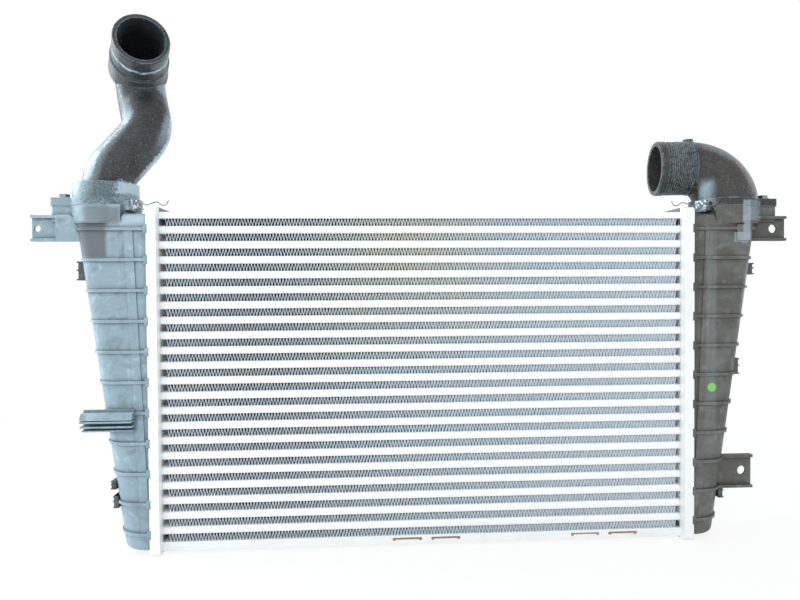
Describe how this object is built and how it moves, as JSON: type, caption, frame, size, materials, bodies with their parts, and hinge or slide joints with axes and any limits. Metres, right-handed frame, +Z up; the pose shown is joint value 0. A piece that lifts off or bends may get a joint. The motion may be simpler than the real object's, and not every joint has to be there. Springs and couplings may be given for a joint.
{
  "type": "intercooler",
  "caption": "Air-to-air charge cooler: wide flat-tube and fin core between two ribbed tapered end tanks, with an S-shaped inlet pipe, a short outlet elbow, brackets and a peg.",
  "frame": {"origin": "middle of the core's lower edge: mid-plane of the core, level with the lower side plate's lips", "axes": "+X along the tubes to the outlet tank, +Y through the core from its front to its back, +Z up"},
  "size_m": [0.8195, 0.1055, 0.5687],
  "materials": {
    "tube": "brazed, bright satin",
    "fin": "thin folded foil, satin",
    "header": "stamped and brazed, satin",
    "side_plate": "rolled, satin",
    "tank_plastic": "moulded glass-filled, satin",
    "pipe_plastic": "blow moulded, satin",
    "elbow_plastic": "moulded, satin",
    "rubber": "soft black",
    "zinc_steel": "zinc plated",
    "mark_paint": "green paint dot"
  },
  "bodies": {
    "root": {"side_plate_lower": "side_plate", "side_plate_upper": "side_plate", "turbulators": "fin", "header_plate_outlet": "header", "header_plate_inlet": "header", "tank_gaskets": "rubber", "inlet_bracket": "tank_plastic", "outlet_bracket": "tank_plastic", "low_bracket": "tank_plastic", "end_tank_inlet": "tank_plastic", "end_tank_outlet": "tank_plastic", "inlet_pipe": "pipe_plastic", "outlet_elbow": "elbow_plastic", "pipe_seals": "rubber", "flange_screws": "zinc_steel", "spring_clips": "zinc_steel", "inspection_mark": "mark_paint", "cooling_tube_01": "tube", "cooling_tube_02": "tube", "cooling_tube_03": "tube", "cooling_tube_04": "tube", "cooling_tube_05": "tube", "cooling_tube_06": "tube", "cooling_tube_07": "tube", "cooling_tube_08": "tube", "cooling_tube_09": "tube", "cooling_tube_10": "tube", "cooling_tube_11": "tube", "cooling_tube_12": "tube", "cooling_tube_13": "tube", "cooling_tube_14": "tube", "cooling_tube_15": "tube", "cooling_tube_16": "tube", "cooling_tube_17": "tube", "cooling_tube_18": "tube", "cooling_tube_19": "tube", "cooling_tube_20": "tube", "cooling_tube_21": "tube", "fin_strip_01": "fin", "fin_strip_02": "fin", "fin_strip_03": "fin", "fin_strip_04": "fin", "fin_strip_05": "fin", "fin_strip_06": "fin", "fin_strip_07": "fin", "fin_strip_08": "fin", "fin_strip_09": "fin", "fin_strip_10": "fin", "fin_strip_11": "fin", "fin_strip_12": "fin", "fin_strip_13": "fin", "fin_strip_14": "fin", "fin_strip_15": "fin", "fin_strip_16": "fin", "fin_strip_17": "fin", "fin_strip_18": "fin", "fin_strip_19": "fin", "fin_strip_20": "fin", "fin_strip_21": "fin", "fin_strip_22": "fin"}
  },
  "joints": []
}
